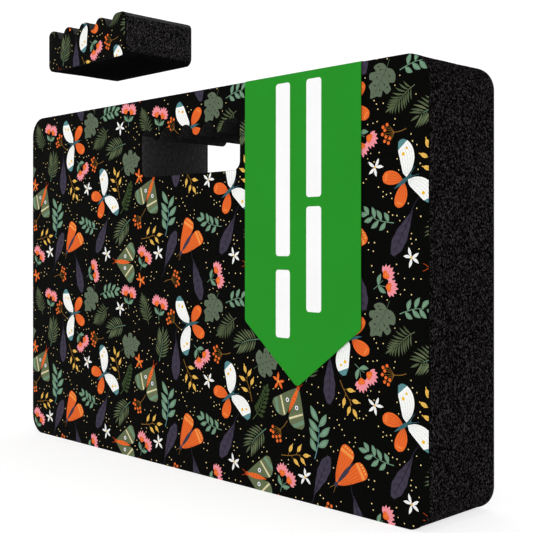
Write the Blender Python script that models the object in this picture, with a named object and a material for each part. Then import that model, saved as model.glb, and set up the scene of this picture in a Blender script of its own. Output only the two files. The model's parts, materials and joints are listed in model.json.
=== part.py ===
"""Thick garden kneeling pad, standing on its long edge.

Frame: metres, +Z up, +X to the right along the printed face, +Y from the
printed face to the back.  The origin is at the middle of the bottom edge.

The pad is a die-cut block of closed-cell foam between two bonded covers, with
a hand slot through it.  The slot's top edge is cut in finger waves.  The block
that was cut out of the slot is a loose plug with the same three layers, and it
stands clear above the pad's top edge on its lift-off axis.  A pointed card
band is folded over the top edge and taped to the back cover.
"""

import math

import bmesh
import bpy

MM = 0.001

# ---- driving dimensions, in millimetres ----
PAD_WIDTH = 440.0
PAD_HEIGHT = 284.2
PAD_THICK = 71.2
CORNER_R = 16.0
COVER_THICK = 1.2
GAP = 0.3  # between bonded or touching pieces
EDGE_BREAK = 0.9  # softened rim of the foam
COVER_BREAK = 0.45

SLOT_WIDTH = 115.0
SLOT_BOTTOM = 223.3  # height of the slot's floor
SLOT_TOP = 260.2  # height of the finger grooves' crowns
SLOT_CORNER_R = 7.0
FINGER_PITCH = 24.2
FINGER_SHIFT = -2.2  # the grooves sit a little to one side of the slot's middle
END_R = 5.5  # top corners of the slot
GROOVE_R = 7.9
RIDGE_R = 4.9

PLUG_CLEAR = 0.3  # kerf between plug and slot, all round
PLUG_SHIFT_X = -136.0  # from its slot to where it stands clear
PLUG_SHIFT_Z = 100.45

BAND_WIDTH = 105.3
BAND_X = 116.9
BAND_THICK = 0.5
BAND_SHOULDER = 116.7  # height where the point starts
BAND_TIP = 75.9
BAND_BACK_END = 165.0
BAND_ROUND = 4.0
TAPE_THICK = 0.3
TAPE_WIDTH = 84.0
TAPE_HEIGHT = 28.0

FACE_Y = PAD_THICK / 2
CORE_Y = FACE_Y - COVER_THICK - GAP


def clear_scene():
    for obj in list(bpy.data.objects):
        bpy.data.objects.remove(obj, do_unlink=True)


def arc(cx, cz, r, a0, a1, n):
    """Points on an arc, in degrees, both ends included."""
    return [
        (
            cx + r * math.cos(math.radians(a0 + (a1 - a0) * i / n)),
            cz + r * math.sin(math.radians(a0 + (a1 - a0) * i / n)),
        )
        for i in range(n + 1)
    ]


def tidy(points, least=0.02):
    """Drops points that repeat the one before."""
    out = []
    for p in points:
        if not out or math.dist(p, out[-1]) > least:
            out.append(p)
    if math.dist(out[0], out[-1]) <= least:
        out.pop()
    return out


def rounded_rectangle(x0, z0, x1, z1, r, n=10):
    """Counter-clockwise in X and Z."""
    return tidy(
        arc(x1 - r, z0 + r, r, -90, 0, n)
        + arc(x1 - r, z1 - r, r, 0, 90, n)
        + arc(x0 + r, z1 - r, r, 90, 180, n)
        + arc(x0 + r, z0 + r, r, 180, 270, n)
    )


def slot_outline(inset=0.0):
    """The hand slot: a straight floor with round corners, and a top edge of five
    finger grooves between four ridges.  inset makes the plug's outline, which is
    the same curve moved inwards."""
    half = SLOT_WIDTH / 2
    groove_z = SLOT_TOP - GROOVE_R
    drop = FINGER_PITCH / 2
    rise = math.sqrt((GROOVE_R + RIDGE_R) ** 2 - drop**2)
    ridge_z = groove_z + rise
    lean = math.degrees(math.atan2(rise, drop))
    r_c, r_g, r_r, r_e = (
        SLOT_CORNER_R - inset,
        GROOVE_R - inset,
        RIDGE_R + inset,
        END_R - inset,
    )
    pts = arc(half - SLOT_CORNER_R, SLOT_BOTTOM + SLOT_CORNER_R, r_c, -90, 0, 6)
    pts += arc(half - END_R, SLOT_TOP - END_R, r_e, 0, 90, 7)
    for k in range(4):
        groove_x = (2 - k) * FINGER_PITCH + FINGER_SHIFT
        pts += arc(groove_x, groove_z, r_g, 90, 180 - lean, 5)
        pts += arc(groove_x - drop, ridge_z, r_r, -lean, -180 + lean, 8)
        pts += arc(groove_x - FINGER_PITCH, groove_z, r_g, lean, 90, 5)
    pts += arc(-half + END_R, SLOT_TOP - END_R, r_e, 90, 180, 7)
    pts += arc(
        -half + SLOT_CORNER_R, SLOT_BOTTOM + SLOT_CORNER_R, r_c, 180, 270, 6
    )
    return tidy(pts, 0.05)


def material(name, colour, roughness, metallic=0.0):
    mat = bpy.data.materials.new(name)
    mat.use_nodes = True
    bsdf = mat.node_tree.nodes["Principled BSDF"]
    bsdf.inputs["Base Color"].default_value = (*colour, 1.0)
    bsdf.inputs["Roughness"].default_value = roughness
    bsdf.inputs["Metallic"].default_value = metallic
    mat.diffuse_color = (*colour, 1.0)
    return mat


def link(name, mesh, mat=None, parent=None, smooth=True):
    obj = bpy.data.objects.new(name, mesh)
    bpy.context.scene.collection.objects.link(obj)
    if mat:
        mesh.materials.append(mat)
    if smooth:
        mesh.shade_smooth()
        mesh.set_sharp_from_angle(angle=math.radians(32))
    if parent:
        obj.parent = parent
    return obj


def extruded(name, outline, y0, y1, mat=None, parent=None):
    """A flat outline in X and Z, extruded from y0 to y1, in millimetres."""
    bm = bmesh.new()
    verts = [bm.verts.new((x * MM, y0 * MM, z * MM)) for x, z in outline]
    face = bm.faces.new(verts)
    grown = bmesh.ops.extrude_face_region(bm, geom=[face])
    moved = [g for g in grown["geom"] if isinstance(g, bmesh.types.BMVert)]
    bmesh.ops.translate(bm, verts=moved, vec=(0, (y1 - y0) * MM, 0))
    bmesh.ops.recalc_face_normals(bm, faces=bm.faces)
    mesh = bpy.data.meshes.new(name)
    bm.to_mesh(mesh)
    bm.free()
    return link(name, mesh, mat, parent)


def cut(obj, cutter):
    mod = obj.modifiers.new("hand_slot", "BOOLEAN")
    mod.operation = "DIFFERENCE"
    mod.solver = "EXACT"
    mod.object = cutter


def soften(obj, width, segments):
    """Breaks the rim where the faces meet the cut sides."""
    mod = obj.modifiers.new("soft_rim", "BEVEL")
    mod.width = width * MM
    mod.segments = segments
    mod.limit_method = "ANGLE"
    mod.angle_limit = math.radians(60)
    mod.use_clamp_overlap = True


def empty(name, at=(0.0, 0.0, 0.0)):
    obj = bpy.data.objects.new(name, None)
    obj.location = [c * MM for c in at]
    obj.empty_display_size = 0.02
    bpy.context.scene.collection.objects.link(obj)
    return obj


def band_path():
    """The folded band's middle line as (y, z, half width), from its tip up the
    front, over the top edge and down the back."""
    t = BAND_THICK / 2
    front = -(FACE_Y + GAP + t)
    back = FACE_Y + GAP * 2 + TAPE_THICK + t
    top = PAD_HEIGHT + GAP + t
    fold = 1.6
    half = BAND_WIDTH / 2
    slope = (BAND_SHOULDER - BAND_TIP) / half
    rows = []
    # round tip, then the straight flanks, then the round shoulders
    lean = math.atan(slope)
    tip_centre = BAND_TIP + BAND_ROUND / math.cos(lean) - 0.6
    for i in range(6):
        a = lean * i / 5
        w = max(0.15, BAND_ROUND * math.sin(a))
        rows.append((front, tip_centre - BAND_ROUND * math.cos(a), w))
    # shoulder arc, tangent to the flank and to the side
    sh_x = half - BAND_ROUND
    sh_z = BAND_SHOULDER + BAND_ROUND * math.tan(math.pi / 4 - lean / 2)
    for i in range(5):
        a = -math.pi / 2 + lean + (math.pi / 2 - lean) * i / 4
        rows.append(
            (front, sh_z + BAND_ROUND * math.sin(a), sh_x + BAND_ROUND * math.cos(a))
        )
    rows.append((front, (sh_z + top) / 2, half))
    for i in range(4):
        a = math.pi + (-math.pi / 2) * i / 3
        rows.append(
            (
                front + fold + fold * math.cos(a),
                top - fold + fold * math.sin(a),
                half,
            )
        )
    for i in range(4):
        a = math.pi / 2 + (-math.pi / 2) * i / 3
        rows.append(
            (back - fold + fold * math.cos(a), top - fold + fold * math.sin(a), half)
        )
    r = BAND_ROUND
    for i in range(4):
        a = math.pi / 2 * i / 3
        rows.append(
            (
                back,
                BAND_BACK_END + r - r * math.sin(a),
                half - r + r * math.cos(a),
            )
        )
    return rows


def folded_band(mat, parent):
    """Two skins swept along the band's path and closed at their edges."""
    rows = band_path()
    t = BAND_THICK / 2
    bm = bmesh.new()
    rings = []
    for i, (y, z, w) in enumerate(rows):
        y0, z0, _ = rows[max(i - 1, 0)]
        y1, z1, _ = rows[min(i + 1, len(rows) - 1)]
        dy, dz = y1 - y0, z1 - z0
        n = math.hypot(dy, dz)
        ny, nz = -dz / n, dy / n  # outwards: away from the pad
        ring = []
        for side, off in ((-1, t), (1, t), (1, -t), (-1, -t)):
            ring.append(
                bm.verts.new(
                    (
                        (BAND_X + side * w) * MM,
                        (y + ny * off) * MM,
                        (z + nz * off) * MM,
                    )
                )
            )
        rings.append(ring)
    for a, b in zip(rings, rings[1:]):
        for k in range(4):
            j = (k + 1) % 4
            bm.faces.new((a[k], a[j], b[j], b[k]))
    bm.faces.new(rings[0][::-1])
    bm.faces.new(rings[-1])
    bmesh.ops.recalc_face_normals(bm, faces=bm.faces)
    mesh = bpy.data.meshes.new("label_band")
    bm.to_mesh(mesh)
    bm.free()
    return link("label_band", mesh, mat, parent)


def build():
    clear_scene()
    foam = material("black_foam", (0.012, 0.012, 0.013), 0.92)
    print_cloth = material("printed_cloth", (0.02, 0.02, 0.02), 0.75)
    back_cloth = material("plain_backing", (0.015, 0.015, 0.016), 0.85)
    card = material("green_card", (0.022, 0.28, 0.022), 0.45)
    tape = material("clear_tape", (0.75, 0.74, 0.68), 0.35)

    pad = empty("pad")
    outline = rounded_rectangle(
        -PAD_WIDTH / 2, 0.0, PAD_WIDTH / 2, PAD_HEIGHT, CORNER_R
    )
    slot = slot_outline()

    cutter = extruded("slot_cutter", slot, -PAD_THICK, PAD_THICK, parent=pad)
    cutter.hide_render = True
    cutter.display_type = "WIRE"

    core = extruded("foam_core", outline, -CORE_Y, CORE_Y, foam, pad)
    cut(core, cutter)
    soften(core, EDGE_BREAK, 2)

    # The covers stop a hair inside the foam's outline, so the foam meets the ground.
    lip = 0.35
    cover_outline = rounded_rectangle(
        -PAD_WIDTH / 2 + lip,
        lip,
        PAD_WIDTH / 2 - lip,
        PAD_HEIGHT - lip,
        CORNER_R - lip,
    )
    cover_slot = slot_outline(-lip)
    cover_cutter = extruded(
        "cover_cutter", cover_slot, -PAD_THICK, PAD_THICK, parent=pad
    )
    cover_cutter.hide_render = True
    cover_cutter.display_type = "WIRE"

    front = extruded(
        "front_cover", cover_outline, -FACE_Y, -FACE_Y + COVER_THICK, print_cloth, pad
    )
    cut(front, cover_cutter)
    soften(front, COVER_BREAK, 1)
    back = extruded(
        "back_cover", cover_outline, FACE_Y - COVER_THICK, FACE_Y, back_cloth, pad
    )
    cut(back, cover_cutter)
    soften(back, COVER_BREAK, 1)

    # The plug: the slot's own block, on an empty at its lift-off axis.
    plug = empty(
        "handle_plug", (PLUG_SHIFT_X, 0.0, SLOT_BOTTOM + PLUG_CLEAR + PLUG_SHIFT_Z)
    )
    z0 = SLOT_BOTTOM + PLUG_CLEAR
    plug_outline = [(x, z - z0) for x, z in slot_outline(PLUG_CLEAR)]
    skin_outline = [(x, z - z0) for x, z in slot_outline(PLUG_CLEAR + lip)]
    plug_core = extruded("plug_core", plug_outline, -CORE_Y, CORE_Y, foam, plug)
    soften(plug_core, EDGE_BREAK, 2)
    plug_front = extruded(
        "plug_front_cover",
        skin_outline,
        -FACE_Y,
        -FACE_Y + COVER_THICK,
        print_cloth,
        plug,
    )
    soften(plug_front, COVER_BREAK, 1)
    plug_back = extruded(
        "plug_back_cover",
        skin_outline,
        FACE_Y - COVER_THICK,
        FACE_Y,
        back_cloth,
        plug,
    )
    soften(plug_back, COVER_BREAK, 1)

    folded_band(card, pad)
    tape_z = BAND_BACK_END + 12.0
    extruded(
        "band_tape",
        rounded_rectangle(
            BAND_X - TAPE_WIDTH / 2,
            tape_z,
            BAND_X + TAPE_WIDTH / 2,
            tape_z + TAPE_HEIGHT,
            3.0,
            3,
        ),
        FACE_Y + GAP,
        FACE_Y + GAP + TAPE_THICK,
        tape,
        pad,
    )


build()
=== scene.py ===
"""Looks of the garden kneeling pad: printed covers, cut foam sides, the loose
block from the hand slot and the folded card band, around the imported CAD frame.
Metres, +Z up, the printed face towards -Y, the pad standing on its long edge."""

import json
import math

import bmesh
import bpy
import numpy as np
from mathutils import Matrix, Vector, noise
from mathutils.geometry import delaunay_2d_cdt

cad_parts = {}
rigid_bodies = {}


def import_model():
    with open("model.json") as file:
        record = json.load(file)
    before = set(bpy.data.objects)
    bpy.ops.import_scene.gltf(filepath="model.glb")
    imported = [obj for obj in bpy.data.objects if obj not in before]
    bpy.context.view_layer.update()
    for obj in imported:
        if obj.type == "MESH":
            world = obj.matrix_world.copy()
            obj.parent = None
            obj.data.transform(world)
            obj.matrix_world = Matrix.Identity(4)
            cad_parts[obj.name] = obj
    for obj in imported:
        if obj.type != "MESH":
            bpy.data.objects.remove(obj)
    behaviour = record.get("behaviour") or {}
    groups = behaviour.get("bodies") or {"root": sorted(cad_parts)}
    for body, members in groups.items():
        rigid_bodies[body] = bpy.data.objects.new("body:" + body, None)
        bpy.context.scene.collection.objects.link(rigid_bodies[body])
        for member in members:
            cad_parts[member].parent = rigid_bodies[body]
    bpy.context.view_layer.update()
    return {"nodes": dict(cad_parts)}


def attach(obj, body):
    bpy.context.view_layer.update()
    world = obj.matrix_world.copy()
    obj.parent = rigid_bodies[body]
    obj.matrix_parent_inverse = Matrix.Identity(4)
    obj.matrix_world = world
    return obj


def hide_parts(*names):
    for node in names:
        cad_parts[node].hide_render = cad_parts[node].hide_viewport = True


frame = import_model()
MM = 0.001

# ---- the CAD model's dimensions, in millimetres ----
PAD_WIDTH, PAD_HEIGHT, PAD_THICK = 440.0, 284.2, 71.2
CORNER_R = 16.0
COVER_THICK, GAP = 1.2, 0.3
LIP = 0.1  # the printed skin stops this far short of the foam's cut side
SLOT_WIDTH, SLOT_BOTTOM, SLOT_TOP, SLOT_CORNER_R = 115.0, 223.3, 260.2, 7.0
FINGER_PITCH, FINGER_SHIFT, GROOVE_R, RIDGE_R, END_R = 24.2, -2.2, 7.9, 4.9, 5.5
PLUG_CLEAR, PLUG_SHIFT_X, PLUG_SHIFT_Z = 0.3, -136.0, 100.45
BAND_X, BAND_WIDTH = 116.9, 105.3
BAND_LEAN = -1.9  # the band's point lies this far off its middle
BAND_SHOULDER, BAND_TIP, BAND_BACK_END, BAND_ROUND = 116.7, 75.9, 165.0, 4.0
FACE_Y = PAD_THICK / 2
CORE_Y = FACE_Y - COVER_THICK - GAP

# ---------------------------------------------------------------------------
# The printed pattern: its own set of plants and insects, drawn as flat shapes
# in millimetres.  Each motif is a list of (ink, outline) from bottom to top.
# ---------------------------------------------------------------------------

INKS = {  # sRGB
    "ground": (8, 8, 7),
    "orange": (231, 104, 42),
    "rust": (192, 74, 28),
    "amber": (242, 150, 72),
    "pink": (240, 148, 157),
    "rose": (216, 104, 120),
    "white": (250, 250, 247),
    "silver": (196, 202, 200),
    "gold": (232, 184, 86),
    "bronze": (140, 100, 42),
    "mustard": (240, 184, 26),
    "cream": (222, 212, 168),
    "dot": (250, 224, 152),
    "teal": (88, 136, 140),
    "deepteal": (54, 96, 104),
    "navy": (24, 66, 104),
    "midnight": (22, 46, 70),
    "purple": (100, 74, 132),
    "violet": (68, 48, 100),
    "plum": (60, 54, 70),
    "plumdark": (38, 33, 46),
    "plumlight": (75, 68, 86),
    "olive": (102, 112, 80),
    "olivedark": (78, 88, 60),
    "fern": (82, 94, 66),
    "forest": (50, 66, 36),
    "forestlight": (68, 88, 50),
    "sage": (106, 140, 114),
    "sagelight": (130, 170, 144),
    "slate": (93, 106, 86),
    "slatedark": (64, 77, 60),
}


def turned(pts, deg):
    c, s = math.cos(math.radians(deg)), math.sin(math.radians(deg))
    p = np.asarray(pts, float)
    return np.stack([p[:, 0] * c - p[:, 1] * s, p[:, 0] * s + p[:, 1] * c], 1)


def oval(cx, cy, rx, ry=None, deg=0.0, n=12):
    ry = rx if ry is None else ry
    t = np.linspace(0, 2 * math.pi, n, endpoint=False)
    return turned(np.stack([rx * np.cos(t), ry * np.sin(t)], 1), deg) + (cx, cy)


def spline(pts, n=5, closed=False):
    """Catmull-Rom through pts."""
    p = np.asarray(pts, float)
    if closed:
        q = np.concatenate([p[-1:], p, p[:2]])
    else:
        q = np.concatenate([2 * p[:1] - p[1:2], p, 2 * p[-1:] - p[-2:-1]])
    out = []
    for i in range(1, len(q) - 2):
        a, b, c, d = q[i - 1], q[i], q[i + 1], q[i + 2]
        for k in range(n):
            t = k / n
            out.append(
                0.5
                * (
                    2 * b
                    + (c - a) * t
                    + (2 * a - 5 * b + 4 * c - d) * t * t
                    + (3 * b - a - 3 * c + d) * t**3
                )
            )
    if not closed:
        out.append(q[-2])
    return np.array(out)


def at(path, t):
    """The point at the fraction t of a path's length."""
    seg = np.linalg.norm(np.diff(path, axis=0), axis=1)
    s = np.concatenate([[0], np.cumsum(seg)])
    x = np.interp(np.asarray(t) * s[-1], s, path[:, 0])
    y = np.interp(np.asarray(t) * s[-1], s, path[:, 1])
    return np.stack([x, y], -1)


def heading(path, t):
    a, b = at(path, max(0.0, t - 0.02)), at(path, min(1.0, t + 0.02))
    return math.degrees(math.atan2(b[1] - a[1], b[0] - a[0]))


def line(pts, w0, w1=None, n=3):
    """A brush stroke along pts, whose half width goes from w0 to w1."""
    w1 = w0 if w1 is None else w1
    p = spline(pts, n) if len(pts) > 2 else np.asarray(pts, float)
    d = np.gradient(p, axis=0)
    d /= np.linalg.norm(d, axis=1)[:, None] + 1e-9
    nrm = np.stack([-d[:, 1], d[:, 0]], 1)
    w = np.linspace(w0, w1, len(p))[:, None]
    return np.concatenate([p + nrm * w, (p - nrm * w)[::-1]])


def blade(base, deg, length, w, peak=0.45, bow=0.0, n=6, blunt=1.0, wave=0.0, waves=5):
    """A leaf or petal from base towards deg, its greatest half width w at peak."""
    t = np.linspace(0, 1, n + 1)
    k = math.log(0.5) / math.log(peak)
    wide = w * np.sin(math.pi * t**k) ** blunt
    left = wide * (1 + wave * np.sin(t * waves * 2 * math.pi))
    right = wide * (1 + wave * np.sin(t * waves * 2 * math.pi + 2.1))
    mid = bow * np.sin(math.pi * t)
    up = np.stack([t * length, mid + left], 1)
    down = np.stack([t * length, mid - right], 1)
    return turned(np.concatenate([up, down[-2:0:-1]]), deg) + np.asarray(base, float)


def rib(base, deg, length, bow=0.0, w0=0.22, w1=0.1, t0=0.08, t1=0.86, n=4):
    """The middle line of such a blade."""
    t = np.linspace(t0, t1, n + 1)
    pts = np.stack([t * length, bow * np.sin(math.pi * t)], 1)
    return line(turned(pts, deg) + np.asarray(base, float), w0, w1, 1)


class Wing:
    """A wing between a leading edge and a trailing edge that share their ends."""

    def __init__(self, lead, trail, n=5):
        self.lead, self.trail = spline(lead, n), spline(trail, n)

    def p(self, t, f):
        t, f = np.broadcast_arrays(np.asarray(t, float), np.asarray(f, float))
        a, b = at(self.trail, t), at(self.lead, t)
        return a + (b - a) * f[..., None]

    def whole(self, n=14):
        t = np.linspace(0, 1, n)
        return np.concatenate([self.p(t, 1.0), self.p(t[-2:0:-1], 0.0)])

    def band(self, f0, f1, t0=0.0, t1=1.0, n=16):
        """f0 and f1 are numbers or functions of t."""
        t = np.linspace(t0, t1, n)
        a = f0(t) if callable(f0) else np.full(n, float(f0))
        b = f1(t) if callable(f1) else np.full(n, float(f1))
        return np.concatenate([self.p(t, b), self.p(t[::-1], a[::-1])])

    def vein(self, f, t0, t1, w0=0.28, w1=0.12, n=5, bend=0.0):
        t = np.linspace(t0, t1, n)
        return line(self.p(t, f + bend * np.sin(math.pi * (t - t0) / (t1 - t0))), w0, w1, 1)

    def tip(self, t0, depth=0.0, lobes=3, n=13, inset=0.0):
        """The wing's end beyond t0, its inner edge scalloped."""
        f = np.linspace(inset, 1 - inset, n)
        t = t0 - depth * np.abs(np.sin(math.pi * lobes * f))
        out = np.linspace(t0, 1, 8)
        return np.concatenate(
            [self.p(t, f), self.p(out[1:], 1.0), self.p(out[-2:0:-1], 0.0)]
        )


def both(parts):
    """Shapes for the right half, and their mirror images."""
    return parts + [(c, p * (-1, 1)) for c, p in parts]


def butterfly():
    up = Wing(
        [(1.0, 4.2), (3.0, 10.4), (7.8, 15.8), (14.0, 18.4), (20.2, 17.8), (24.4, 14.4), (24.6, 10.8)],
        [(1.0, 4.2), (4.6, 3.2), (9.4, 4.4), (14.4, 6.0), (19.6, 7.6), (24.6, 10.8)],
    )
    low = Wing(
        [(1.0, 0.6), (5.0, 0.4), (9.2, -1.4), (12.4, -4.8), (13.8, -8.8), (12.6, -12.2)],
        [(1.0, 0.6), (1.4, -3.2), (3.0, -7.8), (6.0, -11.8), (9.4, -13.6), (12.6, -12.2)],
    )
    s = [("orange", low.whole())]
    for f in (0.2, 0.4, 0.6, 0.8):
        s.append(("rust", low.vein(f, 0.08, 0.62, 0.2, 0.12, bend=0.03)))
    for f in (0.3, 0.5, 0.7):
        c = low.p(0.74, f)
        s.append(("amber", oval(c[0], c[1], 0.6, n=8)))
    s.append(("white", up.whole(18)))
    s.append(("teal", up.tip(0.78, 0.0, 3)))
    for f in (0.16, 0.34, 0.52, 0.7, 0.86):
        s.append(("silver", up.vein(f, 0.08, 0.74, 0.14, 0.14, 5)))
    for t, f, r in ((0.6, 0.3, 1.25), (0.66, 0.64, 0.95)):
        c = up.p(t, f)
        s.append(("mustard", oval(c[0], c[1], r, n=10)))
    s.append(("deepteal", line([(0.4, 7.0), (1.9, 10.4), (3.0, 13.4)], 0.24, 0.15, 4)))
    s = both(s)
    s.append(("deepteal", blade((0, 7.2), -90, 16.0, 1.5, 0.4, n=9)))
    s.append(("deepteal", oval(0, 7.0, 1.3, 1.3)))
    return s, [(8, 9, 6.4), (15, 11, 6.2), (21, 11, 4.2), (8, -6, 7.0), (-8, 9, 6.4), (-15, 11, 6.2), (-21, 11, 4.2), (-8, -6, 7.0), (0, 2, 5)]


def green_moth():
    w = Wing(
        [(0.9, 10.6), (6.0, 5.2), (11.4, -1.2), (16.6, -7.8), (20.6, -13.2), (19.8, -17.6)],
        [(0.9, 10.6), (0.9, 3.6), (1.0, -3.4), (1.4, -10.4), (2.6, -18.6), (10.6, -21.6), (19.8, -17.6)],
    )
    s = [("olive", w.whole(18))]
    for i, f in enumerate((0.1, 0.26, 0.42, 0.58, 0.74, 0.9)):
        s.append(("olivedark", w.vein(f, 0.1, 0.5 + 0.04 * (i % 2), 0.14, 0.26, 3)))
    s.append(("cream", w.band(0.03, 0.97, 0.585, 0.625, 9)))
    s.append(("sage", w.band(0.03, 0.97, 0.74, 0.83, 9)))
    c = w.p(0.42, 0.5)
    s.append(("white", oval(c[0], c[1], 1.9, n=12)))
    s.append(("purple", oval(c[0], c[1], 1.05, n=9)))
    s.append(("rust", line([(0.6, 12.4), (2.0, 14.6), (2.8, 17.0)], 0.24, 0.16, 4)))
    s = both(s)
    s.append(("orange", blade((0, 11.6), -90, 26.0, 2.3, 0.45, n=10)))
    for y in (2.0, -1.6, -5.2, -8.6):
        s.append(("rust", line([(-1.5, y), (1.5, y)], 0.3, 0.3)))
    s.append(("rust", oval(0, 10.6, 1.9, 1.9)))
    return s, [(3.6, 3, 4.6), (8.2, -5, 6.2), (11.6, -14, 8.4), (-3.6, 3, 4.6), (-8.2, -5, 6.2), (-11.6, -14, 8.4), (0, 13, 4.0)]


def orange_moth():
    w = Wing(
        [(0.5, 12.4), (5.2, 7.6), (9.6, 0.4), (13.2, -7.0), (15.8, -12.8), (15.0, -17.0), (10.6, -18.8)],
        [(0.5, 12.4), (0.6, 4.6), (0.7, -2.4), (1.1, -9.4), (1.8, -15.4), (5.0, -18.9), (10.6, -18.8)],
    )
    s = [("orange", w.whole(18))]
    for i, f in enumerate((0.14, 0.34, 0.54, 0.74, 0.9)):
        s.append(("rust", w.vein(f, 0.12, 0.66, 0.15, 0.2, 4)))
    s.append(("amber", w.band(0.03, 0.97, 0.7, 0.76, 9)))
    for f in (0.16, 0.36, 0.56, 0.76):
        c = w.p(0.83, f)
        s.append(("gold", oval(c[0], c[1], 0.75, n=9)))
    s.append(("bronze", line([(0.6, 14.6), (1.8, 17.0), (2.4, 19.4)], 0.22, 0.15, 4)))
    s = both(s)
    s.append(("plum", blade((0, 12.0), -90, 25.0, 1.9, 0.5, n=9)))
    for y in (4.4, 1.2, -2.0, -5.2):
        s.append(("plumlight", line([(-1.2, y), (1.2, y)], 0.26, 0.26)))
    s.append(("plum", oval(0, 12.6, 1.9, 2.1)))
    return s, [(3, 4, 4.6), (-3, 4, 4.6), (6.4, -5, 5.0), (-6.4, -5, 5.0), (8.6, -13, 6.4), (-8.6, -13, 6.4), (0, 14, 4.4)]


def feather():
    s = [("plumdark", line([(0.4, -25.5), (1.4, -19.0), (0.5, -11.0)], 0.22, 0.55, 3))]
    s.append(("plum", blade((0.5, -16.5), 90, 35.0, 5.5, 0.66, n=24, blunt=0.62, wave=0.05, waves=4)))
    for k in range(10):
        y = -10.5 + 2.9 * k
        long = 4.5 * math.sin(math.pi * (k + 2.2) / 13.5)
        for side in (-1, 1):
            a = (0.5, y)
            b = (0.5 + side * long * 0.95, y + 2.8)
            s.append((("plumdark", "plumlight")[k % 2], line([a, b], 0.18, 0.08)))
    s.append(("plumdark", line([(0.5, -15.0), (0.2, 0.0), (0.5, 16.5)], 0.4, 0.14, 4)))
    return s, [(0.6, -20, 1.6), (0.5, -13, 3.2), (0.5, -6, 4.8), (0.5, 1, 5.8), (0.5, 8, 6.2), (0.5, 13.4, 5.6)]


def palm():
    stem = spline([(1.4, -14.5), (0.6, -7), (-0.6, 1), (-3.4, 8.5)], 6)
    s = []
    for k in range(8):
        t = 0.2 + 0.1 * k
        p, h = at(stem, t), heading(stem, t)
        long = 11.6 * math.sin(math.pi * (0.26 + 0.062 * k)) + 1.4
        for side in (-1, 1):
            d = h - side * (60 - 4.0 * k)
            s.append(("fern" if (k + side) % 3 else "olive", blade(p, d, long, 0.74, 0.46, bow=side * -0.5, n=6)))
    p, h = at(stem, 1.0), heading(stem, 1.0)
    s.append(("fern", blade(p, h, 8.4, 0.9, 0.45, n=5)))
    s.append(("sage", line(stem[::4], 0.32, 0.18, 1)))
    return s, [(1, -12, 2.4), (0.6, -5, 7.6), (0, 2, 10.0), (-2, 9, 6.6), (-4.6, 14, 3)]


def frond():
    stem = spline([(-1.0, -15), (0.6, -7), (0.4, 1), (1.6, 9)], 6)
    s = []
    for k in range(9):
        t = 0.14 + 0.096 * k
        p, h = at(stem, t), heading(stem, t)
        long = 9.6 * math.sin(math.pi * (0.3 + 0.064 * k)) + 0.8
        for side in (-1, 1):
            d = h - side * (66 - 4.4 * k)
            s.append(("fern" if k % 2 else "olivedark", blade(p, d, long, 0.7, 0.5, bow=side * 0.7, n=6)))
    s.append(("fern", blade(at(stem, 0.98), heading(stem, 1.0), 6.6, 0.85, 0.45, n=5)))
    s.append(("olive", line(stem[::4], 0.28, 0.15, 1)))
    return s, [(-0.6, -12, 3.6), (0.2, -5, 8), (0.6, 2, 8.8), (1.4, 9, 6.6), (2.2, 14, 2.8)]


def sage_sprig():
    stem = spline([(-3.5, -19), (-0.8, -11), (0.8, -2), (0.4, 7)], 6)
    s = [("teal", line(stem[::4], 0.36, 0.22, 1))]
    for k, (t, a) in enumerate(((0.2, 50), (0.34, -46), (0.46, 52), (0.6, -46), (0.72, 48), (0.85, -42), (0.97, 30))):
        p, h = at(stem, t), heading(stem, t)
        long = (10.4, 11.6, 12.4, 12.6, 12.2, 11.6, 12.8)[k]
        bow = 0.6 if a > 0 else -0.6
        s.append(("sage", blade(p, h + a, long, 2.35, 0.5, bow=bow, n=8, blunt=0.95)))
        s.append(("sagelight", blade(p + turned([(1.4, 0)], h + a)[0], h + a, long - 3.4, 0.8, 0.5, bow=bow, n=5)))
        s.append(("forest", rib(p, h + a, long, bow, 0.12, 0.08)))
    return s, [(-2.6, -15, 2.6), (-5.4, -7.5, 4.6), (4.8, -6.4, 4.8), (-4.4, 1.8, 5), (6.4, 2.4, 5), (-2.4, 11, 4.8), (5.6, 11.2, 4.8), (0.4, 18, 3)]


def small_sprig():
    stem = spline([(2.4, -15), (0.4, -8), (-0.8, -1), (-0.2, 7)], 6)
    s = [("sage", line(stem[::4], 0.34, 0.2, 1))]
    for k, (t, a) in enumerate(((0.2, -56), (0.3, 54), (0.46, -52), (0.56, 52), (0.72, -48), (0.8, 46), (0.97, -26), (1.0, 20))):
        p, h = at(stem, t), heading(stem, t)
        long = (7.4, 7.8, 8.4, 8.4, 8.2, 8.0, 7.4, 8.4)[k]
        bow = 0.5 if a > 0 else -0.5
        s.append(("sage", blade(p, h + a, long, 1.75, 0.5, bow=bow, n=7, blunt=0.95)))
        s.append(("sagelight", rib(p, h + a, long, bow, 0.26, 0.12, 0.14, 0.82)))
    return s, [(2, -12, 2.6), (-3.4, -5.6, 4.6), (4.0, -5.6, 4.4), (-4.4, 1.4, 4.6), (3.4, 1.6, 4.6), (-2.8, 9, 4.6), (2.8, 9.4, 4.4)]


def dark_sprig():
    stem = spline([(-2, -16), (0.4, -8), (0.8, 1), (0.0, 9)], 6)
    s = [("forestlight", line(stem[::4], 0.3, 0.18, 1))]
    for k in range(7):
        t = 0.24 + 0.118 * k
        p, h = at(stem, t), heading(stem, t)
        long = 6.4 - 0.35 * k
        for side in (-1, 1):
            d = h - side * (60 - 3 * k)
            s.append(("forest", blade(p, d, long, 1.25, 0.62, n=6, blunt=0.85)))
            s.append(("forestlight", rib(p, d, long, 0, 0.1, 0.06, 0.2, 0.8, 2)))
    s.append(("forest", blade(at(stem, 1.0), heading(stem, 1.0), 4.6, 1.2, 0.6, n=6, blunt=0.8)))
    return s, [(-1, -13, 2.4), (0.4, -6, 5.6), (0.8, 0, 5.6), (0.4, 6, 5.0), (0, 12, 3.2)]


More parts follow.
